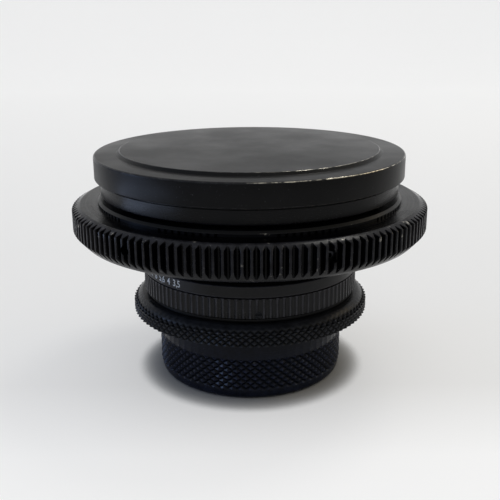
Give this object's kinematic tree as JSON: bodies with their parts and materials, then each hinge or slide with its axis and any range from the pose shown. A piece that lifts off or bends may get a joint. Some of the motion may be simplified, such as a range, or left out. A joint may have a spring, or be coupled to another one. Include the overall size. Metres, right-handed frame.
{
  "type": "cinema prime lens",
  "caption": "Wide cinema prime lens on its knurled rear cap, with slip-on front cap, follow-focus gear, turning aperture ring, working iris and lock ring.",
  "frame": {"origin": "on the optical axis, on the surface that the rear cap stands on", "axes": "+Z along the optical axis towards the front of the lens; -Y faces the viewer of the aperture ring's drive screw, +X to the right"},
  "size_m": [0.1136, 0.1136, 0.0742],
  "materials": {
    "painted_cap": "satin paint, worn at the edges",
    "felt": "short-pile felt",
    "cap_plastic": "moulded, knurled",
    "stainless": "fine turned",
    "screw_steel": "machined",
    "black_anodised": "black anodised",
    "gear_black": "black anodised, milled",
    "flat_black": "flat black",
    "brass": "machined",
    "blued_steel": "blackened",
    "coated_glass": "polished, coated"
  },
  "bodies": {
    "lens_body": {"rear_mount": "stainless", "mount_screws": "screw_steel", "fixed_barrel": "black_anodised", "guide_keys": "brass", "lock_ring_stop_pin": "screw_steel", "focus_stop_pin": "screw_steel", "focus_keeper_ring": "brass"},
    "lock_ring": {"lock_ring": "black_anodised", "breech_lug_plate": "stainless", "breech_lug_screws": "screw_steel"},
    "focus": {"focus_ring": "black_anodised", "focus_helicoid": "brass", "focus_gear": "gear_black", "gear_set_screws": "screw_steel"},
    "aperture": {"aperture_ring": "black_anodised", "aperture_drive_screw": "screw_steel"},
    "optical_block": {"optical_barrel": "flat_black", "front_barrel": "black_anodised", "front_trim_ring": "flat_black", "front_retaining_ring": "flat_black", "front_element": "coated_glass", "second_element": "coated_glass", "second_retaining_ring": "flat_black", "third_element": "coated_glass", "third_retaining_ring": "flat_black", "iris_pivot_plate": "brass", "iris_keeper_ring": "brass", "rear_cell": "flat_black", "fourth_element": "coated_glass", "fifth_element": "coated_glass", "fourth_retaining_ring": "flat_black", "rear_element": "coated_glass", "rear_retaining_ring": "flat_black"},
    "iris_cam": {"iris_cam_ring": "brass"},
    "front_cap": {"front_cap": "painted_cap", "front_cap_liner": "felt"},
    "rear_cap": {"rear_cap": "cap_plastic"},
    "blade_1": {"iris_blade_1": "blued_steel"},
    "blade_2": {"iris_blade_2": "blued_steel"},
    "blade_3": {"iris_blade_3": "blued_steel"},
    "blade_4": {"iris_blade_4": "blued_steel"},
    "blade_5": {"iris_blade_5": "blued_steel"},
    "blade_6": {"iris_blade_6": "blued_steel"},
    "blade_7": {"iris_blade_7": "blued_steel"},
    "blade_8": {"iris_blade_8": "blued_steel"}
  },
  "joints": [
    {"name": "focus_turn", "type": "hinge", "parent": "lens_body", "child": "focus", "pos_m": [0, 0, 0.053], "axis": [0, 0, 1], "range_deg": [0, 240]},
    {"name": "focus_travel", "type": "slide", "parent": "lens_body", "child": "optical_block", "axis": [0, 0, 1], "range_m": [0, 0.0046]},
    {"name": "aperture_turn", "type": "hinge", "parent": "lens_body", "child": "aperture", "pos_m": [0, 0, 0.034], "axis": [0, 0, 1], "range_deg": [0, 33.6]},
    {"name": "iris_cam_turn", "type": "hinge", "parent": "optical_block", "child": "iris_cam", "pos_m": [0, 0, 0.0302], "axis": [0, 0, 1], "range_deg": [0, 34]},
    {"name": "lock_ring_turn", "type": "hinge", "parent": "lens_body", "child": "lock_ring", "pos_m": [0, 0, 0.0245], "axis": [0, 0, 1], "range_deg": [0, 60]},
    {"name": "front_cap_slide", "type": "slide", "parent": "optical_block", "child": "front_cap", "axis": [0, 0, 1], "range_m": [0, 0.06]},
    {"name": "rear_cap_slide", "type": "slide", "parent": "lens_body", "child": "rear_cap", "axis": [0, 0, -1], "range_m": [0, 0.04]},
    {"name": "blade_1_swing", "type": "hinge", "parent": "optical_block", "child": "blade_1", "pos_m": [0.00329, -0.02226, 0.0347], "axis": [0, 0, 1], "range_deg": [0, 23]},
    {"name": "blade_2_swing", "type": "hinge", "parent": "optical_block", "child": "blade_2", "pos_m": [0.01806, -0.01342, 0.0347], "axis": [0, 0, 1], "range_deg": [0, 23]},
    {"name": "blade_3_swing", "type": "hinge", "parent": "optical_block", "child": "blade_3", "pos_m": [0.02226, 0.00329, 0.0347], "axis": [0, 0, 1], "range_deg": [0, 23]},
    {"name": "blade_4_swing", "type": "hinge", "parent": "optical_block", "child": "blade_4", "pos_m": [0.01342, 0.01806, 0.0347], "axis": [0, 0, 1], "range_deg": [0, 23]},
    {"name": "blade_5_swing", "type": "hinge", "parent": "optical_block", "child": "blade_5", "pos_m": [-0.00329, 0.02226, 0.0347], "axis": [0, 0, 1], "range_deg": [0, 23]},
    {"name": "blade_6_swing", "type": "hinge", "parent": "optical_block", "child": "blade_6", "pos_m": [-0.01806, 0.01342, 0.0347], "axis": [0, 0, 1], "range_deg": [0, 23]},
    {"name": "blade_7_swing", "type": "hinge", "parent": "optical_block", "child": "blade_7", "pos_m": [-0.02226, -0.00329, 0.0347], "axis": [0, 0, 1], "range_deg": [0, 23]},
    {"name": "blade_8_swing", "type": "hinge", "parent": "optical_block", "child": "blade_8", "pos_m": [-0.01342, -0.01806, 0.0347], "axis": [0, 0, 1], "range_deg": [0, 23]}
  ],
  "couplings": [
    {"joint": "focus_travel", "follows": "focus_turn", "m_per_rad": 0.0010743},
    {"joint": "iris_cam_turn", "follows": "aperture_turn", "ratio": 1},
    {"joint": "blade_1_swing", "follows": "aperture_turn", "ratio": 0.67857},
    {"joint": "blade_2_swing", "follows": "aperture_turn", "ratio": 0.67857},
    {"joint": "blade_3_swing", "follows": "aperture_turn", "ratio": 0.67857},
    {"joint": "blade_4_swing", "follows": "aperture_turn", "ratio": 0.67857},
    {"joint": "blade_5_swing", "follows": "aperture_turn", "ratio": 0.67857},
    {"joint": "blade_6_swing", "follows": "aperture_turn", "ratio": 0.67857},
    {"joint": "blade_7_swing", "follows": "aperture_turn", "ratio": 0.67857},
    {"joint": "blade_8_swing", "follows": "aperture_turn", "ratio": 0.67857}
  ]
}
